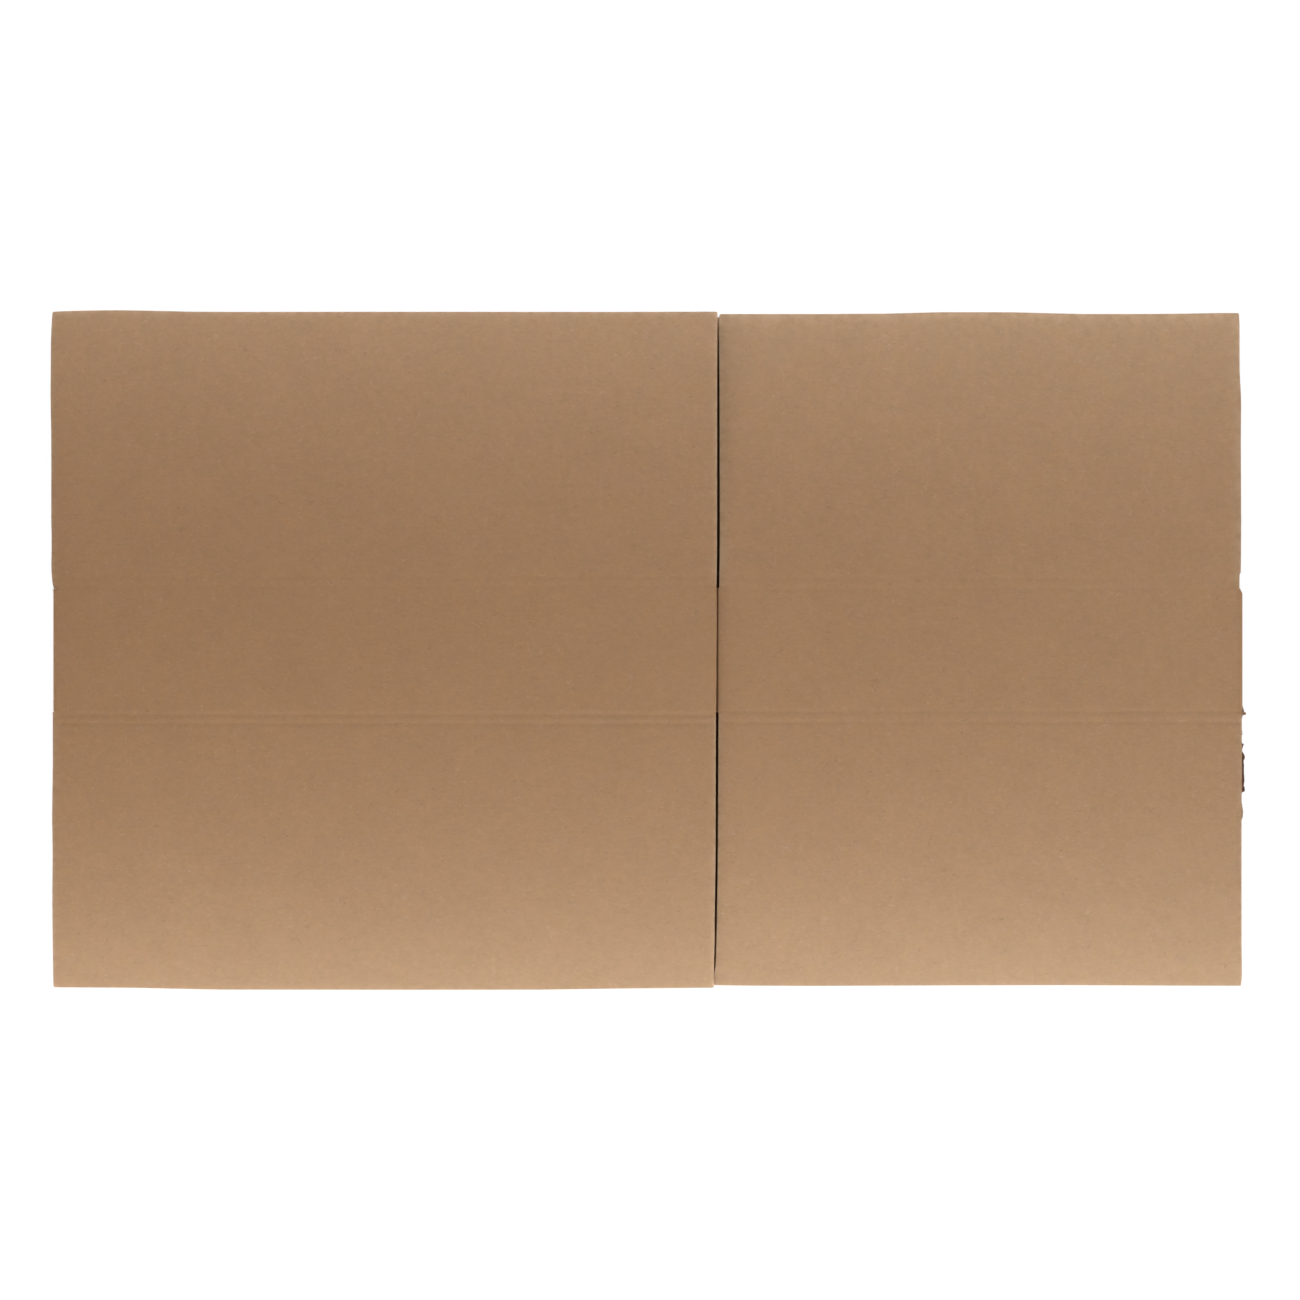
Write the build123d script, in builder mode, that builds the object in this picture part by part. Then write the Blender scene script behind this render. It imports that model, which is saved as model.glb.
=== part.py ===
from build123d import *
from math import asin, cos, degrees, sin
import os

# A slotted carton of corrugated board, folded flat and lying on a table. X runs along the carton
# from the long panel's fold to the short panel's fold, Y runs along the flutes, Z is up, and the
# origin is at the middle of the underside. All sizes are millimetres.

# Corrugated board: two liners with a waved medium between them, whose crests are glued down
board = 3.8
liner = 0.45
medium = 0.3
flute_pitch = 7.8
crest_land = 0.5
trough_share = 0.26

# Panels, as flat stretches between the middles of the folds
long_panel = 505.2
short_panel = 398.9
layer_gap = 0.4
crushed_rim = 6.0

# Scores across the flutes, each a pair of grooves with a bead between them. Those of the long
# panels stand a little outside the others, so that the long flaps close over the short ones.
short_depth = 102.0
score_step = 1.6
score_apart = 7.4
groove_width = 3.4
groove_floor = 1.2
score_sink = 0.3

# Flaps, and the slots between them
blank_height = 518.6
short_trim_far = 1.0
short_trim_near = 2.2
lower_trim = 2.4
slot_width = 2.4
hidden_slot = 3.0
slot_overrun = 3.6
overhang = 2.1
lower_overhang = 0.6
right_inset = 1.3

# Lean of the flap edges at the near slot, where the short flap slips under the long one
long_flap_lean = 2.6
short_flap_lean = 4.0

# Glue tab under the long panel, and the crease beside the panel's cut edge
tab_width = 39.0
tab_taper = 9.0
crease_lap = 1.0
seam_land = 0.2
seam_groove = 1.6
seam_sink = 0.9

# Waste of the right slot, torn and still hanging on the lower flap: how far along the slot each
# point lies, and how far it reaches out
waste_reach = 3.4
waste_sink = 0.5
torn_edge = [
    (0.0, 1.6), (1.5, waste_reach), (4.0, 0.8), (12.0, 1.2), (18.5, 0.9), (20.5, 2.2),
    (23.5, 1.0), (27.5, 2.6), (35.0, 3.1), (42.0, 3.3), (50.0, 2.9), (56.0, 2.5),
    (58.0, 1.0), (68.0, 1.3), (75.5, 1.8), (84.0, 0.3),
]

fold_radius = board + layer_gap / 2
upper_level = board + layer_gap
upper_face = upper_level + board
half_short = short_depth / 2
half_long = half_short + score_step
half_fold = half_short - slot_overrun
half_blank = blank_height / 2
span = long_panel + short_panel
left_fold = -span / 2 + (overhang - (waste_reach - right_inset)) / 2
right_fold = left_fold + span
seam = left_fold + long_panel
hidden_crease = left_fold + short_panel
right_edge = right_fold + fold_radius - right_inset
lean = asin((board + layer_gap) / long_panel)
short_start = seam + slot_width
lower_left = left_fold - fold_radius - lower_overhang


def fluted_strip(start, end):
    """Cut end of the board, with the hollows above and below its waved medium."""
    with Locations(((start + end) / 2, board / 2)):
        Rectangle(end - start, board)
    wide = (flute_pitch - crest_land) / 2
    narrow = wide * trough_share
    height = board - 2 * liner - medium
    count = int((end - start) / flute_pitch)
    first = (start + end - (count - 1) * flute_pitch) / 2
    low = [(first + i * flute_pitch, liner) for i in range(count)]
    high = [(first + (i + 0.5) * flute_pitch, board - liner) for i in range(count - 1)]
    with Locations(*low):
        Polygon((-wide, 0), (wide, 0), (narrow, height), (-narrow, height), align=None, mode=Mode.SUBTRACT)
    with Locations(*high):
        Polygon((-wide, 0), (-narrow, -height), (narrow, -height), (wide, 0), align=None, mode=Mode.SUBTRACT)


def rim_outline(inner, panel_edge, flap_edge, score, far_end, near_end, near_lean):
    """Side of a panel and its two flaps, where cutting and folding have closed the flutes."""
    Polygon(
        (inner, far_end), (inner, near_end), (flap_edge - near_lean, near_end), (flap_edge, -score),
        (panel_edge, -score), (panel_edge, score), (flap_edge, score), (flap_edge, far_end), align=None)


def groove(face):
    """Cross-section of a groove, pressed into the outer face at this height."""
    wide = groove_width / 2
    floor = groove_floor / 2
    bottom = face - score_sink if face else score_sink
    Polygon((-wide, face), (-floor, bottom), (floor, bottom), (wide, face), align=None)


def panel(plane, left, right, score, far_end, near_end, outer_face, right_lean=0, left_lean=0):
    """A panel between its two flaps, lying on a plane. left and right hold the places of the
    panel's edge and of the flaps' edges, and the outer face is at 0 or at the board's height."""
    core_start = max(left) + crushed_rim
    core_end = min(right) - crushed_rim
    section = Plane(origin=plane.from_local_coords((0, far_end, 0)), x_dir=plane.x_dir, z_dir=-plane.y_dir)
    across = Plane(origin=plane.origin, x_dir=plane.y_dir, z_dir=plane.x_dir)
    with BuildPart() as sheet:
        with BuildSketch(section):
            fluted_strip(core_start, core_end)
        extrude(amount=far_end - near_end)
        with BuildSketch(plane):
            rim_outline(core_start, *left, score, far_end, near_end, left_lean)
            rim_outline(core_end, *right, score, far_end, near_end, right_lean)
        extrude(amount=board)
        with BuildSketch(across.offset(min(left))):
            with Locations((score, 0), (-score, 0)):
                with Locations((score_apart / 2, 0), (-score_apart / 2, 0)):
                    groove(outer_face)
        extrude(amount=max(right) - min(left), mode=Mode.SUBTRACT)
    return sheet.part


def fold_section(x, start_angle, sweep):
    """Board bent round on itself."""
    with BuildLine() as bend:
        outside = CenterArc((x, fold_radius), fold_radius, start_angle, sweep)
        inside = CenterArc((x, fold_radius), layer_gap / 2, start_angle, sweep)
        Line(outside @ 0, inside @ 0)
        Line(outside @ 1, inside @ 1)
    make_face(bend.edges())


# The upper long panel leans from the left fold up onto the glue tab. The others lie level.
leaning_plane = Plane(
    origin=(left_fold, 0, fold_radius), x_dir=(cos(lean), 0, sin(lean)), z_dir=(-sin(lean), 0, cos(lean)))
leaning_plane = leaning_plane.offset(layer_gap / 2)
lower_end = half_blank - lower_trim
panels = [
    panel(
        leaning_plane, (0, -fold_radius - overhang), (long_panel, long_panel), half_long,
        half_blank, -half_blank, board, right_lean=long_flap_lean),
    panel(
        Plane.XY.offset(upper_level), (seam - crease_lap, short_start), (right_fold, right_edge),
        half_short, half_blank - short_trim_far, short_trim_near - half_blank, board,
        left_lean=short_flap_lean),
    panel(
        Plane.XY, (left_fold, lower_left), (hidden_crease, hidden_crease - hidden_slot / 2), half_short,
        lower_end, -lower_end, 0),
    panel(
        Plane.XY, (hidden_crease, hidden_crease + hidden_slot / 2), (right_fold, right_edge), half_long,
        lower_end, -lower_end, 0),
]

with BuildPart() as carton:
    # Folds
    middle_section = Plane(origin=(0, half_fold, 0), x_dir=(1, 0, 0), z_dir=(0, -1, 0))
    with BuildSketch(middle_section):
        fold_section(left_fold, 90 + degrees(lean), 180 - degrees(lean))
        fold_section(right_fold, -90, 180)
    extrude(amount=2 * half_fold)

    # Glue tab
    with BuildSketch(leaning_plane):
        Polygon(
            (long_panel - tab_width, tab_taper - half_short), (long_panel, -half_short),
            (long_panel, half_short), (long_panel - tab_width, half_short - tab_taper), align=None)
    extrude(amount=-board)

    # Torn waste on the lower layer
    with BuildSketch(Plane.XY.offset(waste_sink)):
        with BuildLine():
            Polyline(
                (right_edge - 1, -half_long), (right_edge, -half_long),
                *[(right_edge + reach, -half_long - run) for run, reach in torn_edge],
                (right_edge - 1, -half_long - torn_edge[-1][0]), close=True)
        make_face()
    extrude(amount=board - 2 * waste_sink)

    add(panels)

    # Creases of the tab, at the foot of the long panel's edge, and of the lower layer, from below
    with BuildSketch(Plane(origin=(0, half_short, 0), x_dir=(1, 0, 0), z_dir=(0, -1, 0))):
        with Locations((seam + seam_land, upper_face)):
            Polygon((0, 0), (seam_groove / 2, -seam_sink), (seam_groove, 0), align=None)
        with Locations((hidden_crease, 0)):
            groove(0)
    extrude(amount=2 * half_short, mode=Mode.SUBTRACT)

carton.part.label = "folded_carton"
os.makedirs("parts", exist_ok=True)
export_step(carton.part, "parts/folded_carton.step")
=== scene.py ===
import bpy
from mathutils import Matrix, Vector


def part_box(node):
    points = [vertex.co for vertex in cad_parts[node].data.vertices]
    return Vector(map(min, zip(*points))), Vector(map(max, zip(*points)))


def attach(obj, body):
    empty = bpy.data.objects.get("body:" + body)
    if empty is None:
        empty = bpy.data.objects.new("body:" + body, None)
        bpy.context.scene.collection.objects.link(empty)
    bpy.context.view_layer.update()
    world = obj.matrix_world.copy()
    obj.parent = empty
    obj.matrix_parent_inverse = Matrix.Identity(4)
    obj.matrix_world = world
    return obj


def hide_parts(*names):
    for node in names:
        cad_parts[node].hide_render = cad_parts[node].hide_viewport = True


bl_info = {
    "name": "Flattened carton",
    "version": (1, 0, 0),
    "blender": (4, 5, 0),
    "location": "3D View > Sidebar > Carton",
    "description": "Dresses a folded sheet of corrugated board in its papers, scores, slots and torn edge",
    "category": "Object",
}

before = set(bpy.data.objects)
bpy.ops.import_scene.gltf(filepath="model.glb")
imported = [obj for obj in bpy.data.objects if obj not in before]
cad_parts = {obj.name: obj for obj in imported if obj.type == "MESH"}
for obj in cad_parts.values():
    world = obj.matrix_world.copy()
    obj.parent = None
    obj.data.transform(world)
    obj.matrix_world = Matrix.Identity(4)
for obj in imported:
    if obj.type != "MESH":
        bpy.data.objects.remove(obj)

import random
from math import asin, cos, pi, sin

import bpy
import numpy as np
from bpy.props import FloatProperty, FloatVectorProperty, IntProperty, PointerProperty
from mathutils import Vector

# The carton lies folded flat: X runs along the sleeve, Y along the flutes, and Z is up. All sizes
# are in metres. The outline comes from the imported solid, and the rest from the sizes below.

MM = 0.001
NODE = "folded_carton"
BODY = "root"
LOW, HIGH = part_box(NODE)
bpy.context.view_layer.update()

# How far the true line of a cut edge, a free end, a corner, a slot and a fold's end blends inwards
EDGE_BLEND = 16 * MM
END_BLEND = 30 * MM
CORNER_BLEND = 4 * MM
SLOT_BLEND = 2 * MM
BAND_BLEND = 1 * MM

# How far the pinch at a fold's ends, its crumpled end and the flutes' crushed ends reach inwards
PINCH_REACH = 2.5 * MM
CRUMPLE_REACH = 4 * MM
CRUSHED_ENDS = 2.2 * MM

# The groove at the foot of the seam, the rise beside it, and the worn cut edge over it
SEAM_SPREAD = 0.5 * MM
SEAM_RISE = 0.9 * MM
CUT_EDGE_REACH = 0.5 * MM

# The ridge over the hidden crease: how far left of it, and how wide
GHOST_SHIFT = 6 * MM
GHOST_SPREAD = 4 * MM

# Where the flaps begin to rise beyond the folds, where the slow waves fade out beside the cut edges
# and the panel, and where along Y the short panel's lean fades out
LIFT_START = 14 * MM
WAVE_FADE = (60 * MM, 50 * MM)
LEAN_FADE = (190 * MM, 60 * MM)

# Rubbed bands at the far and the near free ends, pale from wear and in part a painted highlight:
# their width and strength beside the cut edges'
FAR_RUB_HIGHLIGHT = (1.5, 0.9)
NEAR_RUB_HIGHLIGHT = (0.7, 0.5)

# Counts as far from any cut edge, and as no distance at all
FAR_INSIDE = 100 * MM
TOUCHING = 0.01 * MM

# Slow waves without a pattern: how many are added up, and how long they are
RIPPLE_WAVES = 5
RIPPLE_PITCH = (90 * MM, 340 * MM)

# Cut edges, as (place along Y, how far the edge stands outside the fold line), in millimetres
LONG_LEFT_EDGE = [
    (-260, 3.4), (-250, 3.7), (-223, 4.1), (-192, 4.5), (-154, 4.2), (-128, 4.7), (-85, 4.1),
    (-47.6, 4.2), (-47.4, 0), (47.4, 0), (47.6, 3.2), (50, 4.2), (56, 4.9), (65, 5.4), (84, 4.9),
    (99, 5.4), (161, 5.3), (194, 5.9), (240, 5.5), (250, 4.9), (260, 4.3),
]
LONG_CUT_EDGE = [
    (-260, -2.5), (-241, -2.6), (-234, -2.4), (-226, -2.0), (-207, -1.95), (-192, -1.7), (-161, -1.3),
    (-115, -1.15), (-47.6, -1.0), (-47.2, -0.75), (-23, -0.6), (0, -0.5), (23, -0.3), (38, -0.25),
    (50, -0.5), (61, -0.3), (84, -0.1), (233, 0), (245, 0.25), (260, 0.25),
]
SHORT_SLOT_EDGE = [
    (-260, 2.6), (-250, 2.4), (-246, 1.6), (-241, 0.8), (-226, 0.6), (-218, 0.45), (-207, 0.05),
    (-192, -0.1), (-161, -0.5), (-115, -0.8), (-69, -0.95), (-47.6, -1.25), (-47.4, 0), (47.4, 0),
    (47.6, -1.7), (61, -1.8), (84, -2.1), (168, -2.0), (206, -1.8), (233, -1.5), (245, -1.25),
    (256, -1.3), (260, -2.0),
]
SHORT_RIGHT_EDGE = [
    (-260, 2.7), (-250, 3.4), (-223, 3.1), (-154, 3.2), (-62, 3.5), (-47.6, 3.5), (-47.4, 0), (47.4, 0),
    (47.6, 1.6), (58, 1.8), (59.5, 2.6), (66, 2.8), (99, 3.0), (161, 2.65), (192, 2.9), (213, 1.6),
    (250, 1.5), (260, 1.1),
]
LOWER_SLOT_EDGE = [(-260, -1.5), (-47.6, -1.5), (-47.4, 0), (47.4, 0), (47.6, -1.5), (260, -1.5)]
LOWER_LEFT_EDGE = [(-260, 3.6), (-47.6, 3.9), (-47.4, 0), (47.4, 0), (47.6, 3.9), (260, 3.6)]
LOWER_RIGHT_EDGE = [(-260, 2.3), (-47.6, 2.3), (-47.4, 0), (47.4, 0), (47.6, 1.2), (260, 1.4)]

# Free ends of the flaps, as (place along the panel, place along Y), in millimetres
LONG_FAR_END = [
    (0, 259.5), (18, 260.1), (46, 260.4), (74, 259.8), (101, 259.1), (138, 258.8), (420, 258.4),
    (505, 258.6),
]
LONG_NEAR_END = [
    (0, -258.4), (55, -258.5), (123, -259.75), (250, -259.6), (371, -259.45), (425, -258.6),
    (505, -257.85),
]
SHORT_FAR_END = [
    (0, 257.5), (80, 257.5), (129, 257.8), (170, 258.9), (225, 258.9), (280, 257.5), (340, 257.6),
    (385, 258.3), (399, 258.3),
]
SHORT_NEAR_END = [
    (0, -256.2), (20, -256.6), (72, -256.9), (115, -256.8), (184, -256.6), (260, -256.5), (399, -257.2),
]
LOWER_LONG_FAR_END = [(0, 256.4), (500, 255.6)]
LOWER_SHORT_FAR_END = [(0, 256.0), (400, 256.6)]
LOWER_NEAR_END = [(0, -256.2), (500, -256.4)]

# Waste of the slot, torn ragged, as (place along Y, how far it stands outside the fold line), in
# millimetres: its lower plies, and the paper over them, which is torn away in places
TORN_EDGE = [
    (-42.6, 5.3), (-44.1, 6.0), (-45.6, 6.8), (-47.2, 7.1), (-47.9, 6.2), (-49.5, 5.8), (-51.0, 5.8),
    (-52.5, 5.4), (-54.1, 4.8), (-55.6, 4.5), (-57.9, 4.9), (-60.2, 5.2), (-61.7, 5.5), (-63.3, 5.5),
    (-64.5, 5.8), (-65.6, 5.5), (-66.3, 4.8), (-70.2, 4.8), (-71.7, 5.3), (-72.3, 6.8), (-73.2, 6.6),
    (-74.8, 5.9), (-76.3, 5.7), (-77.9, 5.6), (-79.4, 6.5), (-80.9, 7.3), (-82.5, 7.8), (-84.0, 7.5),
    (-84.8, 6.8), (-88.6, 7.0), (-97.0, 7.1), (-100.0, 7.5), (-103.2, 7.0), (-104.5, 6.9), (-106.2, 7.6),
    (-108.6, 7.8), (-109.3, 5.9), (-110.5, 4.8), (-131.0, 4.6), (-133.0, 3.0),
]
TORN_SKIN = [
    (-42.6, 5.4), (-44.1, 6.1), (-44.9, 6.2), (-45.4, 4.9), (-47.4, 4.6), (-47.8, 8.1), (-49.6, 8.2),
    (-50.3, 4.9), (-66.0, 4.8), (-71.7, 5.2), (-79.0, 5.1), (-108.6, 5.0), (-110.5, 4.9), (-115.0, 4.6),
    (-118.5, 5.0), (-121.0, 5.5), (-125.0, 5.9), (-127.5, 5.8), (-129.2, 5.4), (-131.0, 4.7),
    (-133.0, 3.0),
]

# Plies of the waste, as (underside, top, outline, whether it is whole paper), in millimetres
TORN_PLIES = ((0.25, 1.0, TORN_EDGE, 0), (1.4, 2.1, TORN_EDGE, 0), (2.5, 3.1, TORN_SKIN, 1))

# The plies start inside the flap, grow thinner from their root, and stay clear of the floor. Their
# outlines are read at even steps
TORN_START = 1.2 * MM
TORN_ROOT = 2.3 * MM
TORN_FLOOR = 0.05 * MM
TORN_STEP = 0.35 * MM

# Tufts of fibres, as (side, how far outside the fold, place along Y, height, number, length), in
# millimetres, and the shape of each fibre
TUFTS = (
    (-1, -0.3, 46.6, 7.2, 14, 1.5), (-1, 0, -46.9, 7, 4, 0.8), (1, -1.6, 48.5, 6.8, 5, 0.9),
    (1, 3.0, -48.6, 3, 9, 1.8), (1, 2.2, -72.6, 2, 5, 0.9), (1, 3.0, -108, 2, 6, 1.0),
)
HAIR_JOINTS = 4
HAIR_TAPER = 0.8
HAIR_CURL = 0.5


def setting(kind, **options):
    """A way to write settings of one kind, each as its name, description and default."""
    def write(name, description, default):
        return kind(name=name, description=description, default=default, **options)
    return write


# Lengths in the scene's unit, plain numbers, whole ones, numbers from nought to one, watts and
# linear colours
distance = setting(FloatProperty, subtype="DISTANCE", precision=5)
gain = setting(FloatProperty)
number = setting(IntProperty, min=0)
share = setting(FloatProperty, min=0, max=1)
power = setting(FloatProperty, min=0, subtype="POWER")
paint = setting(FloatVectorProperty, subtype="COLOR", size=3, min=0, max=1)


class CartonSizes(bpy.types.PropertyGroup):
    """Board, panels and folds."""
    board: distance("Board", "Thickness of the corrugated board", 3.8 * MM)
    liner: distance("Liner", "Thickness of each outside paper", 0.45 * MM)
    medium: distance("Medium", "Thickness of the waved paper", 0.3 * MM)
    flute_pitch: distance("Flute pitch", "Length of one wave of the medium", 7.8 * MM)
    long_panel: distance("Long panel", "Width of a long panel between its folds", 505.2 * MM)
    short_panel: distance("Short panel", "Width of a short panel between its folds", 398.9 * MM)
    layer_gap: distance("Layer gap", "Air between the layers beside a fold", 0.4 * MM)
    overhang: distance("Overhang", "How far the upper flaps stand outside the left fold", 2.1 * MM)
    half_fold: distance("Half fold", "Half the length of the folds", 47.4 * MM)
    short_score: distance("Short score", "Middle to the scores of the short panels", 51.0 * MM)
    long_score: distance("Long score", "Middle to the scores of the long panels", 52.6 * MM)
    tab_width: distance("Tab width", "Width of the glue tab", 39 * MM)
    tab_taper: distance("Tab taper", "How much the tab narrows at each end", 9 * MM)
    seam_step: distance("Seam step", "Cut edge to the tab's crease", 0.1 * MM)
    tab_setback: distance("Tab setback", "Tab's crease behind the seam", 0.3 * MM)
    tab_clearance: distance("Tab clearance", "Glue between the tab and the long panel", 0.03 * MM)


class CartonWear(bpy.types.PropertyGroup):
    """What cutting, creasing and handling have done to the board."""
    score_sink: distance("Score sink", "Depth of each groove of a score", 0.14 * MM)
    score_change: share("Score change", "How much that depth changes along the groove", 0.35)
    long_apart: distance("Long apart", "Between the two grooves of a long panel's score", 6.8 * MM)
    short_apart: distance("Short apart", "Between the two grooves of a short panel's score", 8.2 * MM)
    score_spread: distance("Score spread", "Half width of a groove", 2.0 * MM)
    crease_sink: distance("Crease sink", "Depth of the lower layer's crease", 0.3 * MM)
    crease_spread: distance("Crease spread", "Half width of that crease", 1.2 * MM)
    seam_sink: distance("Seam sink", "Depth of the groove at the foot of the seam", 0.12 * MM)
    corner: distance("Corner", "Radius of the flaps' corners", 1.1 * MM)
    rim_crush: distance("Rim crush", "How far a cut edge along the flutes is pressed down", 0.25 * MM)
    rim_reach: distance("Rim reach", "How far the crush reaches into the board", 2.4 * MM)
    left_round: distance("Left round", "How far the board bows down at the left fold", 0.42 * MM)
    right_round: distance("Right round", "How far the board bows down at the right fold", 0.2 * MM)
    left_reach: distance("Left reach", "How far the left bow reaches into the board", 6 * MM)
    right_reach: distance("Right reach", "How far the right bow reaches into the board", 4.5 * MM)
    end_crush: distance("End crush", "How far a cut edge across the flutes is pressed down", 0.32 * MM)
    near_crush: share("Near crush", "Share of that crush at the near ends", 0.3)
    end_reach: distance("End reach", "How far that crush reaches into the board", 3.0 * MM)
    cut_edge_crush: distance("Cut edge crush", "How far the cut edge at the seam is worn down", 0.22 * MM)
    fold_square: share("Fold square", "Roundness of the folds: one is round, and less is squarer", 0.8)
    left_bulge: distance("Left bulge", "How far the left fold bulges out", 0.4 * MM)
    right_bulge: distance("Right bulge", "How far the right fold bulges out", 0.8 * MM)
    fold_pinch: share("Fold pinch", "How much the folds narrow at their open ends", 0.05)
    crumple: distance("Crumple", "How far the right fold is pushed in at its far end", 2.2 * MM)
    end_lift: distance("End lift", "How far the long upper flaps rise at their free ends", 1.6 * MM)
    short_lift: share("Short lift", "Share of that rise on the short upper flaps", 0.35)
    side_lift: share("Side lift", "Share of that rise at the sides of the long upper flaps", 0.25)
    seam_lift: distance("Seam lift", "How far the short upper panel leans up onto the glue tab", 2.5 * MM)
    seam_dip: share("Seam dip", "Share of that lean missing at the foot of the seam", 0.6)
    warp: distance("Warp", "Height of the board's slow waves", 0.22 * MM)
    ghost_rise: distance("Ghost rise", "Ridge over the hidden crease of the lower layer", 0.07 * MM)
    # Pale bands at the cut edges: rubbed paper, and in part a painted highlight of the lit edges
    rub_reach: distance("Rub reach", "Width of the rubbed paper at the cut edges", 1.6 * MM)
    seam_rub_reach: distance("Seam rub reach", "The same on the far flap beside the seam", 3.4 * MM)
    flute_drift: gain("Flute drift", "How far the waves drift at the free ends, in radians", 0.28)
    flute_crush: share("Flute crush", "How much the waves flatten at the free ends", 0.1)
    torn_ragged: distance("Torn ragged", "How far the torn outline wavers from point to point", 0.15 * MM)
    torn_droop: gain("Torn droop", "Fall of the torn waste towards its tip", 0.08)
    hair_width: distance("Hair width", "Thickness of a loose fibre", 0.09 * MM)
    tuft_width: distance("Tuft width", "Thickness of a fibre in a tuft", 0.16 * MM)
    hairs: number("Hairs", "Loose fibres along the cut edges", 150)
    seed: number("Seed", "Start of the random draws", 11)


class CartonColours(bpy.types.PropertyGroup):
    """Colours of the papers, and the painted sheen that whitens the outside towards its ends."""
    kraft: paint("Kraft", "Outside paper", (0.367, 0.2035, 0.0992))
    # Pale edge colour: rubbed paper, and in part a painted highlight
    kraft_rub_highlight: paint("Rubbed kraft", "Outside paper where edges have rubbed", (0.49, 0.33, 0.205))
    kraft_dark: paint("Dark specks", "Bark and dark fibres in the paper", (0.17, 0.085, 0.04))
    kraft_pale: paint("Pale fibres", "Bleached fibres in the paper", (0.50, 0.35, 0.23))
    # Painted shade: the inside paper is drawn at this share of the kraft's brightness, which darkens the
    # slots
    inside: share("Inside", "How bright the inside paper is beside the outside", 0.2)
    # Painted sheen: gains of blue and green that whiten the outside towards its ends and the short panel
    fade_east: gain("Fade east", "Gain of blue for each metre towards the short panel", 0.14)
    fade_ends: gain("Fade ends", "Gain of blue a metre from the middle, growing by the square", 3.8)
    fade_middle: distance("Fade middle", "Place along Y where the ends' fading has its middle", 20 * MM)
    fade_green: share("Fade green", "Share of the gain that green has", 0.45)
    flute: paint("Flute", "Waved medium", (0.27, 0.155, 0.082))
    # The torn plies are drawn dark brown, about a third as bright as the kraft
    torn: paint("Torn board", "Torn and dampened inner plies", (0.115, 0.052, 0.022))


class StudioSettings(bpy.types.PropertyGroup):
    """Camera, lamps, air and floor."""
    camera_height: distance("Camera height", "Camera above the floor", 1.3915)
    camera_east: distance("Camera east", "Camera to the right of the origin", 1.8 * MM)
    camera_north: distance("Camera north", "Camera beyond the origin", 0.1 * MM)
    near_low: power("Near low lamp", "Power of the low lamp before the near edge", 12.8)
    far_low: power("Far low lamp", "Power of the low lamp behind the far edge", 6.9)
    far_mid: power("Far middle lamp", "Power of the short low lamp behind the far edge", 1.35)
    near_high: power("Near high lamp", "Power of the high lamp before the near edge", 1.3)
    far_high: power("Far high lamp", "Power of the high lamp behind the far edge", 1.06)
    right_lamp: power("Right lamp", "Power of the lamp on the right", 4.15)
    left_lamp: power("Left lamp", "Power of the lamp on the left", 3.4)
    air: share("Air", "Strength of the light from all around", 0.0)
    floor_drop: distance("Floor drop", "Floor below the carton", 0.25 * MM)
    glow: gain("Glow", "Brightness of the floor for the camera", 1.06)
    glow_shade: share("Glow shade", "How much the floor dims under the carton", 0.1)


def smooth(low, high, value):
    """Nought below low, one above high and a smooth step between."""
    part = np.clip((value - low) / (high - low), 0, 1)
    return part * part * (3 - 2 * part)


def line(points, places):
    """Reads a line of millimetre points at places in metres."""
    across, values = zip(*points)
    return np.interp(places / MM, across, values) * MM


def decay(inside, reach):
    """One at an edge and outside it, fading away inwards."""
    return np.exp(-np.clip(inside, 0, None) / reach)


def bell(aside, spread):
    """One in the middle, with a bell curve to both sides."""
    return np.exp(-(aside / spread) ** 2)


def ripple(first, second, seed):
    """Slow waves without a pattern, between minus one and one, over two coordinates in metres."""
    draw = random.Random(seed)
    total = np.zeros(np.broadcast(first, second).shape)
    for wave in range(RIPPLE_WAVES):
        turn = draw.uniform(0, pi)
        pitch = draw.uniform(*RIPPLE_PITCH)
        phase = draw.uniform(0, 2 * pi)
        total = total + np.sin((first * cos(turn) + second * sin(turn)) * 2 * pi / pitch + phase)
    return total / RIPPLE_WAVES


def graded(low, high, rim, step):
    """Places from low to high, with the given steps at both ends and even ones between."""
    edge = np.cumsum(rim)
    count = max(2, round((high - low - 2 * edge[-1]) / step) + 1)
    middle = np.linspace(low + edge[-1], high - edge[-1], count)
    return np.concatenate([[low], low + edge[:-1], middle, high - edge[-2::-1], [high]])


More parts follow.
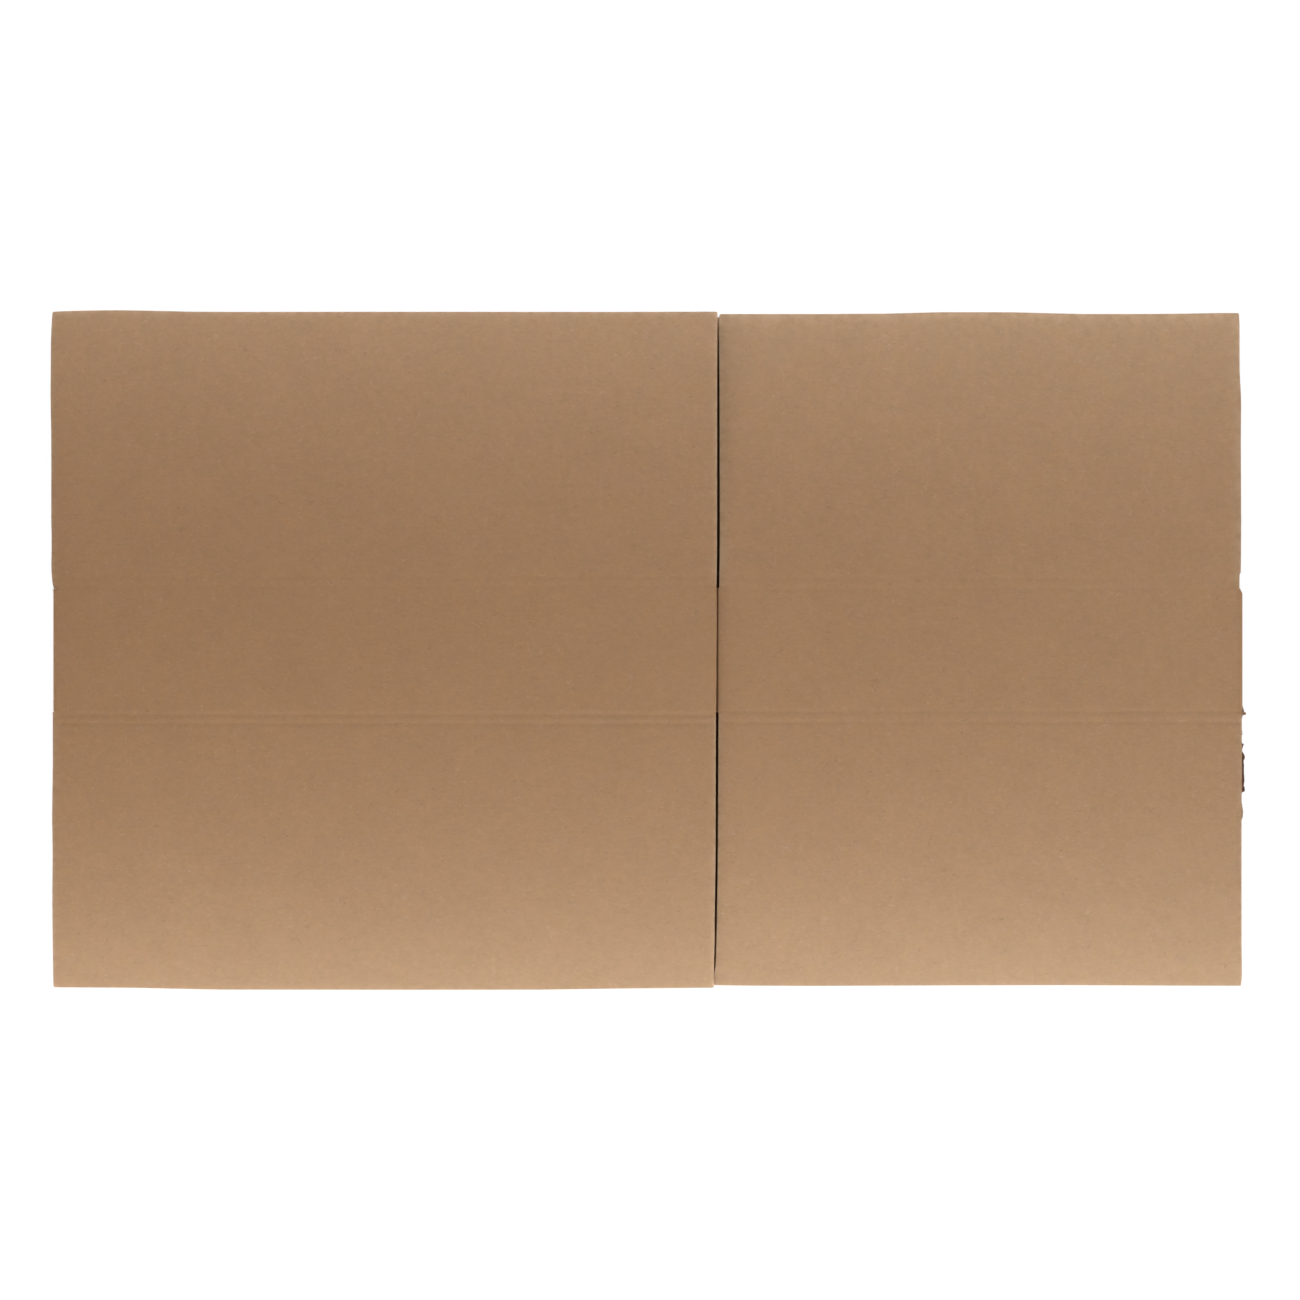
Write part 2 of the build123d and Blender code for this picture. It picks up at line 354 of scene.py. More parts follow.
class Sheet:
    """The blank, folded: where each point of it lies. A panel's places count from its first edge."""

    def __init__(self, context):
        self.sizes = context.scene.carton_sizes
        self.wear = context.scene.carton_wear
        sizes = self.sizes
        self.radius = sizes.board + sizes.layer_gap / 2
        self.lean = asin((sizes.board + sizes.layer_gap) / sizes.long_panel)
        reach = (self.radius + sizes.overhang) * cos(self.lean)
        self.left = LOW.x + reach + self.radius * sin(self.lean)
        self.right = self.left + sizes.long_panel + sizes.short_panel
        self.seam = self.left + sizes.long_panel
        self.hidden = self.left + sizes.short_panel
        self.upper_face = 2 * sizes.board + sizes.layer_gap
        self.half_blank = HIGH.y
        long_score = (sizes.long_score, self.wear.long_apart)
        short_score = (sizes.short_score, self.wear.short_apart)
        self.panels = [
            Panel(self, (self.seam, self.upper_face), 0, 1, self.right - self.seam, short_score,
                  SHORT_SLOT_EDGE, SHORT_RIGHT_EDGE, SHORT_FAR_END, SHORT_NEAR_END, 3),
            Panel(self, (self.right, 0), 0, -1, self.right - self.hidden, long_score,
                  LOWER_RIGHT_EDGE, LOWER_SLOT_EDGE, LOWER_LONG_FAR_END, LOWER_NEAR_END, 5),
            Panel(self, (self.hidden, 0), 0, -1, self.hidden - self.left, short_score,
                  LOWER_SLOT_EDGE, LOWER_LEFT_EDGE, LOWER_SHORT_FAR_END, LOWER_NEAR_END, 7),
            Panel(self, (self.left - self.radius * sin(self.lean), self.radius * (1 + cos(self.lean))),
                  self.lean, 1, sizes.long_panel, long_score,
                  LONG_LEFT_EDGE, LONG_CUT_EDGE, LONG_FAR_END, LONG_NEAR_END, 9),
        ]
        self.short_upper, self.long_lower, self.short_lower, self.long_upper = self.panels
        self.short_upper.seam_side = True
        self.long_upper.on_top = True
        self.long_lower.crease = self.long_lower.length
        self.short_lower.crease = 0

    def fold(self, rows, angles, depth, x, bulge, sunk, crumple):
        """Points of a fold: one column for each angle, depth counting in from the outer face. sunk is
        the upper layer's drop at the fold, and crumple how far it is pushed in at its far end."""
        y, angle = np.meshgrid(rows, angles, indexing="ij")
        half_fold = self.sizes.half_fold
        inside = np.clip((half_fold - np.abs(y)) / PINCH_REACH, 0, 1)
        pinch = 1 - self.wear.fold_pinch * (1 - inside) ** 2
        radius = (self.radius - depth * self.sizes.board) * pinch
        pushed = crumple * smooth(half_fold - CRUMPLE_REACH, half_fold, y)
        out = 1 + (bulge - pushed) / self.radius * np.cos(angle) ** 2
        drop = sunk * (1 - depth) * smooth(0, 1, np.sin(angle))
        aside, up = (
            np.sign(side) * np.abs(side) ** self.wear.fold_square
            for side in (np.cos(angle), np.sin(angle)))
        return np.stack([x + radius * out * aside, y, self.radius + radius * up - drop], -1)

    def tab(self, rows, places, depth):
        """Points of the glue tab under the long panel, places counting back from its crease."""
        sizes = self.sizes
        y, back = np.meshgrid(rows, places, indexing="ij")
        taper = 1 - sizes.tab_taper / sizes.half_fold * back / sizes.tab_width
        top = self.upper_face + 2 * (self.radius - sizes.board) - sizes.tab_clearance
        z = top - back * sin(self.lean) - depth * sizes.board
        return np.stack([self.seam - sizes.tab_setback - back, y * taper, z], -1)


class Panel:
    """A panel between its two flaps. outward is 1 where the outer face looks up, and -1 down. first
    and last are its cut edges, far and near its free ends."""

    def __init__(self, sheet, corner, lean, outward, length, score, first, last, far, near, seed):
        self.sheet = sheet
        self.origin = np.array((corner[0], 0, corner[1]))
        self.along = np.array((outward * cos(lean), 0, outward * sin(lean)))
        self.outward = np.array((-sin(lean), 0, cos(lean))) * outward
        self.length = length
        self.score, self.apart = score
        self.first = first
        self.last = last
        self.far = far
        self.near = near
        self.seed = seed
        self.seam_side = False
        self.on_top = False
        self.crease = None

    def plan(self, rows, places):
        """Place along the panel and along Y of each point, once its edges have their true lines."""
        y, along = np.meshgrid(rows, places, indexing="ij")
        first_pull = (1 - smooth(0, EDGE_BLEND, along)) * line(self.first, y)
        last_pull = smooth(self.length - EDGE_BLEND, self.length, along) * line(self.last, y)
        moved = along - first_pull + last_pull
        half = self.sheet.half_blank
        far_shift = line(self.far, along) - half
        near_shift = line(self.near, along) + half
        pull = smooth(half - END_BLEND, half, np.abs(y))
        inside = np.minimum(along, self.length - along)
        radius = self.sheet.wear.corner
        bite = np.clip(radius - inside, 0, None)
        cut = radius - np.sqrt(np.clip(radius ** 2 - bite ** 2, 0, None))
        cut = cut * smooth(half - CORNER_BLEND, half, np.abs(y))
        shift = np.where(y > 0, far_shift * pull - cut, near_shift * pull + cut)
        return moved, y + shift

    def rim(self, along, y):
        """Distance from the cut edges beside the slots, large in the panel itself."""
        inside = np.minimum(along + line(self.first, y), self.length + line(self.last, y) - along)
        half_fold = self.sheet.sizes.half_fold
        flap = smooth(half_fold, half_fold + SLOT_BLEND, np.abs(y))
        return inside + (1 - flap) * FAR_INSIDE

    def end(self, along, y):
        """Distance from the free end of the flap."""
        return np.where(y > 0, line(self.far, along) - y, y - line(self.near, along))

    def face(self, along, y):
        """Height of the outer face over its plane."""
        wear = self.sheet.wear
        height = -wear.rim_crush * decay(self.rim(along, y), wear.rim_reach)
        pressed = wear.end_crush * np.where(y > 0, 1, wear.near_crush)
        height = height - pressed * decay(self.end(along, y), wear.end_reach)
        for middle in (self.score, -self.score):
            deep = 1 + wear.score_change * ripple(along, y, self.seed + (middle > 0))
            for side in (-0.5, 0.5):
                groove = y - middle - side * self.apart
                height = height - wear.score_sink * deep * bell(groove, wear.score_spread)
        if self.seam_side:
            height = height - wear.right_round * np.exp(-(self.length - along) / wear.right_reach)
            groove = along - self.sheet.sizes.seam_step
            height = height - wear.seam_sink * self.band(y) * bell(groove, SEAM_SPREAD)
        if self.crease is not None:
            groove = bell(along - self.crease, wear.crease_spread)
            height = height - wear.crease_sink * self.band(y) * groove
        if self.on_top:
            height = height - wear.left_round * np.exp(-along / wear.left_reach)
            ridge = along - (self.sheet.hidden - self.sheet.left) + GHOST_SHIFT
            height = height + wear.ghost_rise * bell(ridge, GHOST_SPREAD)
            height = height - wear.cut_edge_crush * decay(self.length - along, CUT_EDGE_REACH)
        return height

    def band(self, y):
        """One in the panel itself, and nought on its flaps."""
        half_fold = self.sheet.sizes.half_fold
        return 1 - smooth(half_fold - BAND_BLEND, half_fold, np.abs(y))

    def back(self, along, y):
        """Height of the inner face over the outer face's plane."""
        wear = self.sheet.wear
        crush = 2 * wear.rim_crush * decay(self.rim(along, y), wear.rim_reach)
        return crush - self.sheet.sizes.board

    def rise(self, along, y):
        """Lift of the upper flaps off the lower ones, and the board's slow waves."""
        if self.outward[2] < 0:
            return np.zeros(np.shape(y))
        wear = self.sheet.wear
        half_fold = self.sheet.sizes.half_fold
        away = smooth(half_fold + LIFT_START, self.sheet.half_blank, np.abs(y))
        lift = wear.end_lift * away ** 2
        inside = smooth(0, WAVE_FADE[0], np.minimum(along, self.length - along))
        inside = inside * smooth(0, WAVE_FADE[1], np.abs(y) - half_fold)
        wave = wear.warp * ripple(along, y, self.seed + 40) * inside
        if self.on_top:
            arch = np.sin(pi * np.clip(along / self.length, 0, 1))
            return lift * (wear.side_lift + (1 - wear.side_lift) * arch) + wave
        start = 1 - wear.seam_dip * self.band(y) * (1 - smooth(0, SEAM_RISE, along))
        lean = wear.seam_lift * start * (1 - along / self.length)
        return wear.short_lift * lift + wave + lean * smooth(*LEAN_FADE, y)

    def points(self, rows, places, depth):
        """Points of the panel, depth counting from the outer face at nought to the inner face at one."""
        along, y = self.plan(rows, places)
        height = self.face(along, y)
        height = height + depth * (self.back(along, y) - height) + self.rise(along, y)
        flat = along[..., None] * self.along + height[..., None] * self.outward
        return self.origin + flat + y[..., None] * np.array((0, 1, 0))

    def rub(self, rows, places, spread):
        """How much of the surface is drawn pale, partly rubbed wear and partly a painted highlight: most
        at the cut edges, in bands that spread times as wide."""
        along, y = self.plan(rows, places)
        wear = self.sheet.wear
        reach = np.where((y > 0) & self.seam_side, wear.seam_rub_reach, wear.rub_reach) * spread
        end_reach = np.where(y > 0, FAR_RUB_HIGHLIGHT[0], NEAR_RUB_HIGHLIGHT[0]) * reach
        end = np.where(y > 0, FAR_RUB_HIGHLIGHT[1], NEAR_RUB_HIGHLIGHT[1]) * decay(self.end(along, y), end_reach)
        return np.clip(decay(self.rim(along, y), reach) + end, 0, 1)


class Columns:
    """Columns of points across the whole blank, from the tab round to the long upper panel. rim holds
    the steps beside a cut edge, and step is the one between. A fold has bends columns, and the tab
    across columns."""

    def __init__(self, sheet, rim, step, bends, across):
        self.sheet = sheet
        sizes = sheet.sizes
        self.tab_places = np.linspace(sizes.tab_width, 0, across)
        self.places = [graded(0, panel.length, rim, step) for panel in sheet.panels]
        self.right_angles = np.linspace(pi / 2, -pi / 2, bends + 2)[1:-1]
        self.left_angles = np.linspace(1.5 * pi, pi / 2 + sheet.lean, bends + 2)[1:-1]

        # The lower panels share the column on their crease
        self.places[1] = self.places[1][:-1]

    def points(self, rows, depth):
        """The whole grid of points. depth is a number, or a value for each row and column."""
        sheet = self.sheet
        wear = sheet.wear
        cuts = np.cumsum(self.widths())[:-1]
        depths = np.split(np.broadcast_to(depth, (len(rows), sum(self.widths()))), cuts, axis=1)
        parts = [
            sheet.tab(rows, self.tab_places, depths[0]),
            sheet.short_upper.points(rows, self.places[0], depths[1]),
            sheet.fold(
                rows, self.right_angles, depths[2], sheet.right, wear.right_bulge, wear.right_round,
                wear.crumple),
            sheet.long_lower.points(rows, self.places[1], depths[3]),
            sheet.short_lower.points(rows, self.places[2], depths[4]),
            sheet.fold(
                rows, self.left_angles, depths[5], sheet.left, wear.left_bulge, wear.left_round, 0),
            sheet.long_upper.points(rows, self.places[3], depths[6]),
        ]
        return np.concatenate(parts, axis=1)

    def widths(self):
        """Number of columns of each part of the blank."""
        return [
            len(self.tab_places), len(self.places[0]), len(self.right_angles), len(self.places[1]),
            len(self.places[2]), len(self.left_angles), len(self.places[3]),
        ]

    def rub(self, rows, spread=1):
        """Pale share for the whole grid, rubbed wear and in part a painted highlight."""
        sheet = self.sheet
        fold = np.zeros((len(rows), len(self.right_angles)))
        parts = [
            np.zeros((len(rows), len(self.tab_places))),
            sheet.short_upper.rub(rows, self.places[0], spread), fold,
            sheet.long_lower.rub(rows, self.places[1], spread),
            sheet.short_lower.rub(rows, self.places[2], spread), fold,
            sheet.long_upper.rub(rows, self.places[3], spread),
        ]
        return np.concatenate(parts, axis=1)

    def runs(self):
        """Length run along the sheet at each column, for the flutes."""
        sheet = self.sheet
        bend = pi * sheet.radius / 2
        steps = [
            -self.tab_places, self.places[0], (1 - self.right_angles / (pi / 2)) / 2 * bend,
            self.places[1], self.places[2], (1.5 * pi - self.left_angles) / pi * bend, self.places[3],
        ]
        starts = [0, 0]
        for length in (self.places[0][-1], bend, sheet.long_lower.length, sheet.short_lower.length, bend):
            starts.append(starts[-1] + length)
        return np.concatenate([step + start for step, start in zip(steps, starts)])

    def board(self, rows):
        """Which cells of the grid hold board: the folds, the tab and the crease end at the slots."""
        widths = self.widths()
        cells = np.ones((len(rows) - 1, sum(widths) - 1), bool)
        reach = np.maximum(np.abs(rows[:-1]), np.abs(rows[1:]))
        slots = reach > self.sheet.sizes.half_fold + TOUCHING
        ends = np.cumsum(widths)
        cells[slots, :ends[0]] = False
        cells[slots, ends[1] - 1:ends[2]] = False
        cells[slots, ends[3] - 1:ends[3]] = False
        cells[slots, ends[4] - 1:ends[5]] = False
        return cells


def paper_rows(sheet):
    """Rows of a liner along Y, close together at the slot ends, the scores and the free ends."""
    half_fold = sheet.sizes.half_fold
    slot_end_steps = np.array((0.4, 0.6, 0.8, 1, 1.2, 2.5, 5)) * MM
    band = graded(-half_fold, half_fold, slot_end_steps, 9 * MM)
    scores = half_fold + np.concatenate([[0.2, 0.6], np.arange(1.2, 16, 0.85)]) * MM
    flap = np.linspace(scores[-1] + 6 * MM, sheet.half_blank - 15 * MM, 19)
    free_end = sheet.half_blank - np.array((10, 7, 5, 3.6, 2.5, 1.6, 0.9, 0.4, 0.1, 0)) * MM
    outside = np.concatenate([scores, flap, free_end])
    return np.concatenate([-outside[::-1], band, outside])


def flute_rows(sheet):
    """Rows of the medium: few, because a flute runs straight from end to end."""
    outside = np.array((48.5, 51.5, 55, 62, 110, 180)) * MM
    end = sheet.half_blank - np.array((9, 3.4, 1.3, 0)) * MM
    half = np.concatenate([[sheet.sizes.half_fold], outside, end])
    return np.concatenate([-half[::-1], [0], half])


def sheet_mesh(name, front, behind, cells, rub_highlights=None):
    """A thin closed sheet between two grids of points, on the cells that hold board. rub_highlights
    are the pale shares of its two sides, partly rubbed wear and partly a painted highlight."""
    index = np.arange(front.shape[0] * front.shape[1]).reshape(front.shape[:2])
    quads = np.stack([index[:-1, :-1], index[:-1, 1:], index[1:, 1:], index[1:, :-1]], -1)[cells]
    used, corners = np.unique(quads, return_inverse=True)
    corners = corners.reshape(-1, 4)
    count = len(used)

    # An edge that only one cell has lies on the border, where the two sides are joined
    sides = np.stack([corners, np.roll(corners, -1, axis=1)], -1).reshape(-1, 2)
    keys = np.sort(sides, axis=1)
    _, first, times = np.unique(keys, axis=0, return_index=True, return_counts=True)
    border = sides[first[times == 1]]
    rims = np.stack([border[:, 1], border[:, 0], border[:, 0] + count, border[:, 1] + count], -1)
    faces = np.concatenate([corners, corners[:, ::-1] + count, rims])
    points = np.concatenate([front.reshape(-1, 3)[used], behind.reshape(-1, 3)[used]])
    mesh = bpy.data.meshes.new(name)
    mesh.from_pydata(points.tolist(), [], faces.tolist())
    shading = np.ones(len(faces), bool)
    shading[2 * len(corners):] = False
    mesh.polygons.foreach_set("use_smooth", shading)
    if rub_highlights:
        shares = [np.broadcast_to(side, front.shape[:2]).reshape(-1)[used] for side in rub_highlights]
        mesh.attributes.new("rub", "FLOAT", "POINT").data.foreach_set("value", np.concatenate(shares))
    mesh.update()
    return mesh


def add_piece(context, mesh, finish):
    """Puts a mesh in the scene as a piece of the carton."""
    piece = bpy.data.objects.new(mesh.name, mesh)
    context.scene.collection.objects.link(piece)
    piece.data.materials.append(finish)
    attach(piece, BODY)
    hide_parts(NODE)


class Signal:
    """A number that changes over a surface, with the arithmetic of the Math node."""

    def __init__(self, finish, socket):
        self.finish = finish
        self.socket = socket

    def math(self, operation, *values):
        return self.finish.node("ShaderNodeMath", {"operation": operation}, dict(enumerate(values)))

    def __add__(self, other):
        return self.math("ADD", self, other)

    def __radd__(self, other):
        return self.math("ADD", other, self)

    def __sub__(self, other):
        return self.math("SUBTRACT", self, other)

    def __rsub__(self, other):
        return self.math("SUBTRACT", other, self)

    def __mul__(self, other):
        return self.math("MULTIPLY", self, other)

    def __rmul__(self, other):
        return self.math("MULTIPLY", other, self)

    def __abs__(self):
        return self.math("ABSOLUTE", self)

    def step(self, low, high):
        """Smooth step from nought at low to one at high; low may be the larger."""
        return self.finish.node(
            "ShaderNodeMapRange", {"interpolation_type": "SMOOTHSTEP", "clamp": True},
            {"Value": self, "From Min": low, "From Max": high, "To Min": 0.0, "To Max": 1.0})


# Height of the papers' fine relief
RELIEF_HEIGHT = 0.06 * MM


class Finish:
    """The node tree of a material or a world, built in code."""

    def __init__(self, owner):
        self.owner = owner
        owner.use_nodes = True
        self.tree = owner.node_tree
        self.tree.nodes.clear()

    def node(self, kind, settings=None, inputs=None, output=0):
        """Adds a node, sets it up, feeds its sockets and gives one of its outputs."""
        made = self.tree.nodes.new(kind)
        for key, value in (settings or {}).items():
            setattr(made, key, value)
        for key, value in (inputs or {}).items():
            if isinstance(value, Signal):
                self.tree.links.new(value.socket, made.inputs[key])
            else:
                made.inputs[key].default_value = value
        return Signal(self, made.outputs[output]) if made.outputs else None

    def mix(self, factor, first, second, blend="MIX"):
        """Blends two colours."""
        mixed = self.tree.nodes.new("ShaderNodeMix")
        mixed.data_type = "RGBA"
        mixed.blend_type = blend
        sockets = [mixed.inputs["Factor"], mixed.inputs[6], mixed.inputs[7]]
        for socket, value in zip(sockets, (factor, first, second)):
            if isinstance(value, Signal):
                self.tree.links.new(value.socket, socket)
            elif socket.type == "RGBA":
                socket.default_value = (*value, 1)
            else:
                socket.default_value = value
        return Signal(self, mixed.outputs[2])

    def place(self, stretch=(1, 1, 1)):
        """Place on the object in millimetres, stretched by three factors."""
        place = self.node("ShaderNodeTexCoord", output=3)
        scale = tuple(value / MM for value in stretch)
        return self.node("ShaderNodeVectorMath", {"operation": "MULTIPLY"}, {0: place, 1: scale})

    def noise(self, place, size, detail=2.0, roughness=0.5):
        """Cloudy value from nought to one, with clouds about size millimetres wide."""
        return self.node("ShaderNodeTexNoise", {"noise_dimensions": "3D"}, {
            "Vector": place, "Scale": 1 / size, "Detail": detail, "Roughness": roughness})

    def shine(self, colour, roughness, relief, specular):
        """Ends the tree in a surface of this colour, with a fine relief."""
        normal = self.node("ShaderNodeBump", None, {
            "Strength": 1.0, "Distance": RELIEF_HEIGHT, "Height": relief})
        surface = self.node("ShaderNodeBsdfPrincipled", None, {
            "Base Color": colour, "Roughness": roughness, "Normal": normal,
            "Specular IOR Level": specular})
        self.node("ShaderNodeOutputMaterial", None, {"Surface": surface})
        return self.owner


def kraft_finish(colours, name, base, roughness, specular):
    """Kraft paper: cloudy pulp, grain across the flutes, bark specks, fibres, pale rubbed edges that are
    partly a painted highlight, and a painted sheen towards the ends.
    """
    finish = Finish(bpy.data.materials.new(name))
    place = finish.place()
    streaked = finish.place((0.6, 1, 1))
    cloud = finish.noise(place, 34)
    blotch = finish.noise(place, 6.5, roughness=0.6)
    grain = finish.noise(streaked, 2.1, roughness=0.6)
    fuzz = finish.noise(place, 0.55, roughness=0.6)
    tone = 0.725 + 0.10 * cloud + 0.18 * blotch + 0.22 * grain + 0.05 * fuzz

    # The pulp's colour drifts a little, in its red and in its blue
    rosy = finish.noise(finish.place((1, 1, 1.7)), 13, detail=1.0)
    mossy = finish.noise(finish.place((1.1, 1, 2.3)), 11, detail=1.0)
    colour = finish.mix(rosy.step(0.3, 0.7), (0.984, 1.0, 1.0), (1.016, 1.0, 1.0))
    moss = finish.mix(mossy.step(0.3, 0.7), (1, 1, 0.966), (1, 1, 1.034))
    colour = finish.mix(1.0, colour, moss, "MULTIPLY")
    colour = finish.mix(1.0, colour, base, "MULTIPLY")
    grey = finish.node("ShaderNodeCombineColor", None, {0: tone, 1: tone, 2: tone})
    colour = finish.mix(1.0, colour, grey, "MULTIPLY")

    # Fibres lie where a slow noise crosses its middle value, in short stretches
    fibre = abs(finish.noise(finish.place((0.75, 1, 1)), 3.6, detail=1.0) - 0.5).step(0.024, 0.0)
    pale = fibre * finish.noise(place, 5.5, detail=0.0).step(0.56, 0.68)
    fibre = abs(finish.noise(finish.place((0.7, 1, 1.3)), 4.2, detail=1.0) - 0.5).step(0.018, 0.0)
    dark = fibre * finish.noise(streaked, 7, detail=0.0).step(0.6, 0.72)
    colour = finish.mix(pale * 0.3, colour, tuple(colours.kraft_pale))
    colour = finish.mix(dark * 0.35, colour, tuple(colours.kraft_dark))

    # Specks lie at the middle of a few cells of a Voronoi pattern, 9 mm wide
    cells = {"feature": "F1", "distance": "EUCLIDEAN"}
    away, chance = (
        finish.node("ShaderNodeTexVoronoi", cells, {"Vector": place, "Scale": 1 / 9}, output)
        for output in (0, 1))
    lot = finish.node("ShaderNodeSeparateColor", None, {0: chance})
    speck = away.step(0.075, 0.035) * lot.step(0.84, 0.95)
    colour = finish.mix(speck * 0.45, colour, tuple(colours.kraft_dark))

    # Painted sheen: the paper is drawn whiter towards the free ends of its flaps, and a little towards
    # the short panel
    metres = finish.node("ShaderNodeTexCoord", output=3)
    east, y = (finish.node("ShaderNodeSeparateXYZ", None, {0: metres}, axis) for axis in (0, 1))
    north = y - colours.fade_middle
    painted_sheen = colours.fade_east * east + colours.fade_ends * north * north
    painted_sheen_tint = finish.node("ShaderNodeCombineColor", None, {
        0: 1.0, 1: 1 + colours.fade_green * painted_sheen, 2: 1 + painted_sheen})
    colour = finish.mix(1.0, colour, painted_sheen_tint, "MULTIPLY")

    # Pale edges: rubbed wear, and in part a painted highlight where the crushed edges catch the light
    rub = finish.node("ShaderNodeAttribute", {"attribute_name": "rub"}, None, 2)
    patchy = 0.35 + 0.65 * blotch.step(0.35, 0.6)
    colour = finish.mix(rub * patchy * 0.8, colour, tuple(colours.kraft_rub_highlight))
    relief = 0.5 * grain + 0.4 * fuzz + 0.5 * pale - 0.4 * speck
    rough = roughness - 0.08 * fuzz
    return finish.shine(colour, rough, relief, specular)


def flute_finish(colours):
    """Waved medium: thinner, darker paper with a coarse look."""
    finish = Finish(bpy.data.materials.new("flute_paper"))
    place = finish.place()
    blotch = finish.noise(place, 5, 3.0, 0.6)
    grain = finish.noise(finish.place((1, 0.4, 1)), 0.9, 2.0, 0.6)
    tone = 0.8 + 0.2 * blotch + 0.2 * grain
    grey = finish.node("ShaderNodeCombineColor", None, {0: tone, 1: tone, 2: tone})
    colour = finish.mix(1.0, tuple(colours.flute), grey, "MULTIPLY")
    return finish.shine(colour, roughness=0.85, relief=grain, specular=0.25)


def torn_finish(colours):
    """Torn plies: dark, matted fibres with paler tips, and whole paper where it is left."""
    finish = Finish(bpy.data.materials.new("torn_plies"))
    place = finish.place()
    blotch = finish.noise(place, 2.4, 3.0, 0.65)
    mat = finish.noise(finish.place((1, 0.5, 1)), 0.5, 3.0, 0.7)
    colour = finish.mix(blotch.step(0.5, 0.68) * 0.5, tuple(colours.torn), tuple(colours.flute))
    colour = finish.mix(mat.step(0.62, 0.75) * 0.5, colour, tuple(colours.kraft))
    skin = finish.node("ShaderNodeAttribute", {"attribute_name": "skin"}, None, 2)
    colour = finish.mix(skin * (0.75 + 0.25 * blotch), colour, tuple(colours.kraft))
    return finish.shine(colour, roughness=0.85, relief=1.6 * mat, specular=0.4)


def hair_finish(colours):
    """Single fibres, pale to dark."""
    finish = Finish(bpy.data.materials.new("loose_fibres"))
    place = finish.place()
    pick = finish.noise(place, 6, 0.0)
    colour = finish.mix(pick.step(0.42, 0.58), tuple(colours.torn), tuple(colours.kraft_rub_highlight))
    return finish.shine(colour, roughness=0.8, relief=pick, specular=0.2)


class CARTON_OT_outer_liner(bpy.types.Operator):
    """Outside paper of the whole blank, with its scores and pressed edges"""
    bl_idname = "carton.outer_liner"
    bl_label = "Outer liner"

    def execute(self, context):
        sheet = Sheet(context)
        rows = paper_rows(sheet)
        rim = np.array((0.1, 0.25, 0.3, 0.35, 0.45, 0.6, 0.9, 1.3, 1.8, 2.6, 3.6, 5)) * MM
        columns = Columns(sheet, rim, 11 * MM, bends=11, across=6)
        inner = sheet.sizes.liner / sheet.sizes.board
        mesh = sheet_mesh(
            "outer_liner", columns.points(rows, 0.0), columns.points(rows, inner), columns.board(rows),
            (columns.rub(rows), 0.5))
        colours = context.scene.carton_colours
        finish = kraft_finish(colours, "outer_kraft", tuple(colours.kraft), roughness=0.92, specular=0.5)
        add_piece(context, mesh, finish)
        return {"FINISHED"}


class CARTON_OT_inner_liner(bpy.types.Operator):
    """Inside paper of the whole blank, darkened with painted shade"""
    bl_idname = "carton.inner_liner"
    bl_label = "Inner liner"

    def execute(self, context):
        sheet = Sheet(context)
        rows = paper_rows(sheet)
        rim = np.array((0.5, 1.2, 2.4, 4, 6)) * MM
        columns = Columns(sheet, rim, 16 * MM, bends=9, across=6)
        outer = 1 - sheet.sizes.liner / sheet.sizes.board
        # The side towards the flutes is half pale all over, and the inner side has pale bands five times
        # as wide, which lift the painted shade at the cut edges and free ends
        mesh = sheet_mesh(
            "inner_liner", columns.points(rows, outer), columns.points(rows, 1.0), columns.board(rows),
            (0.5, columns.rub(rows, 5)))
        colours = context.scene.carton_colours
        # Painted shade: the inside paper is the kraft darkened by the inside share
        base = tuple(value * colours.inside for value in colours.kraft)
        finish = kraft_finish(colours, "inner_kraft", base, roughness=0.9, specular=0.2)
        add_piece(context, mesh, finish)
        return {"FINISHED"}


class CARTON_OT_fluting(bpy.types.Operator):
    """Waved medium between the liners, open to view at the free ends of the flaps"""
    bl_idname = "carton.fluting"
    bl_label = "Fluting"

    def execute(self, context):
        sheet = Sheet(context)
        sizes = sheet.sizes
        rows = flute_rows(sheet)
        step = sizes.flute_pitch / 8
        across = round(sizes.tab_width / step)
        columns = Columns(sheet, np.array((step, step)), step, bends=13, across=across)
        run = columns.runs()[None, :]
        y = rows[:, None]

        # Towards the free ends the waves drift and flatten, by slow sines along the sheet
        end = np.exp(-(sheet.half_blank - np.abs(y)) / CRUSHED_ENDS)
        drift = np.sin(run * 61) + np.sin(run * 23 + 2 + np.sign(y))
        phase = 2 * pi * run / sizes.flute_pitch + sheet.wear.flute_drift * end * drift
        crush = sheet.wear.flute_crush * end * (1 + np.sin(run * 37 + y * 40))
        swing = (sizes.board - 2 * sizes.liner - sizes.medium) / 2 / sizes.board * (1 - crush)
        middle = 0.5 + swing * np.cos(phase)
        half = sizes.medium / 2 / sizes.board
        mesh = sheet_mesh(
            "fluting", columns.points(rows, middle - half), columns.points(rows, middle + half),
            columns.board(rows))
        add_piece(context, mesh, flute_finish(context.scene.carton_colours))
        return {"FINISHED"}


